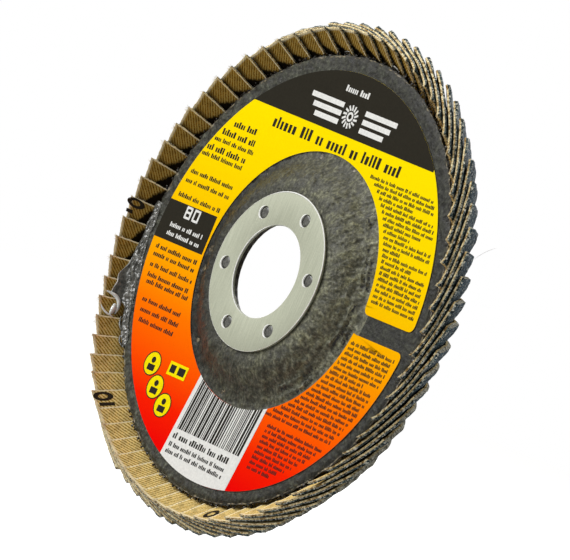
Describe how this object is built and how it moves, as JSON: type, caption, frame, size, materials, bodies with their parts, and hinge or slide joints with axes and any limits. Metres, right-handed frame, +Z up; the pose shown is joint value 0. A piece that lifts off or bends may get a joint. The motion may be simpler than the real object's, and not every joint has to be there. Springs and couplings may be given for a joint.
{
  "type": "abrasive flap disc",
  "caption": "Wrap-over abrasive flap disc for an angle grinder: cloth flaps on a depressed-centre fibre plate with a steel arbor ring.",
  "frame": {"origin": "on the bore axis, in the rear face of the arbor ring, which the grinder's flange presses on", "axes": "+Z up, the label's upward direction; Y is the disc's axis, with the grinder on the -Y side and the work on the +Y side; +X to the right for someone looking at the label"},
  "size_m": [0.1229, 0.0149, 0.1228],
  "materials": {
    "steel": "satin, faintly brushed",
    "black_cloth": "resin-soaked non-woven, dull with soft gloss on the creases",
    "glass_cloth": "resin-bonded glass weave, satin",
    "epoxy": "glossy cured resin",
    "printed_paper": "satin printed sheet, yellow to red",
    "flap_cloth": "woven twill backing with dark blue-green grain on the outer face"
  },
  "bodies": {
    "root": {"arbor_ring": "steel", "rear_veil": "black_cloth", "glass_ply_1": "glass_cloth", "glass_ply_2": "glass_cloth", "glass_ply_3": "glass_cloth", "adhesive_bed": "epoxy", "rim_bead": "epoxy", "label": "printed_paper", "flap_pair_01": "flap_cloth", "flap_pair_02": "flap_cloth", "flap_pair_03": "flap_cloth", "flap_pair_04": "flap_cloth", "flap_pair_05": "flap_cloth", "flap_pair_06": "flap_cloth", "flap_pair_07": "flap_cloth", "flap_pair_08": "flap_cloth", "flap_pair_09": "flap_cloth", "flap_pair_10": "flap_cloth", "flap_pair_11": "flap_cloth", "flap_pair_12": "flap_cloth", "flap_pair_13": "flap_cloth", "flap_pair_14": "flap_cloth", "flap_pair_15": "flap_cloth", "flap_pair_16": "flap_cloth", "flap_pair_17": "flap_cloth", "flap_pair_18": "flap_cloth", "flap_pair_19": "flap_cloth", "flap_pair_20": "flap_cloth", "flap_pair_21": "flap_cloth", "flap_pair_22": "flap_cloth", "flap_pair_23": "flap_cloth", "flap_pair_24": "flap_cloth", "flap_pair_25": "flap_cloth", "flap_pair_26": "flap_cloth", "flap_pair_27": "flap_cloth", "flap_pair_28": "flap_cloth", "flap_pair_29": "flap_cloth", "flap_pair_30": "flap_cloth", "flap_pair_31": "flap_cloth", "flap_pair_32": "flap_cloth", "flap_pair_33": "flap_cloth", "flap_pair_34": "flap_cloth", "flap_pair_35": "flap_cloth"}
  },
  "joints": []
}
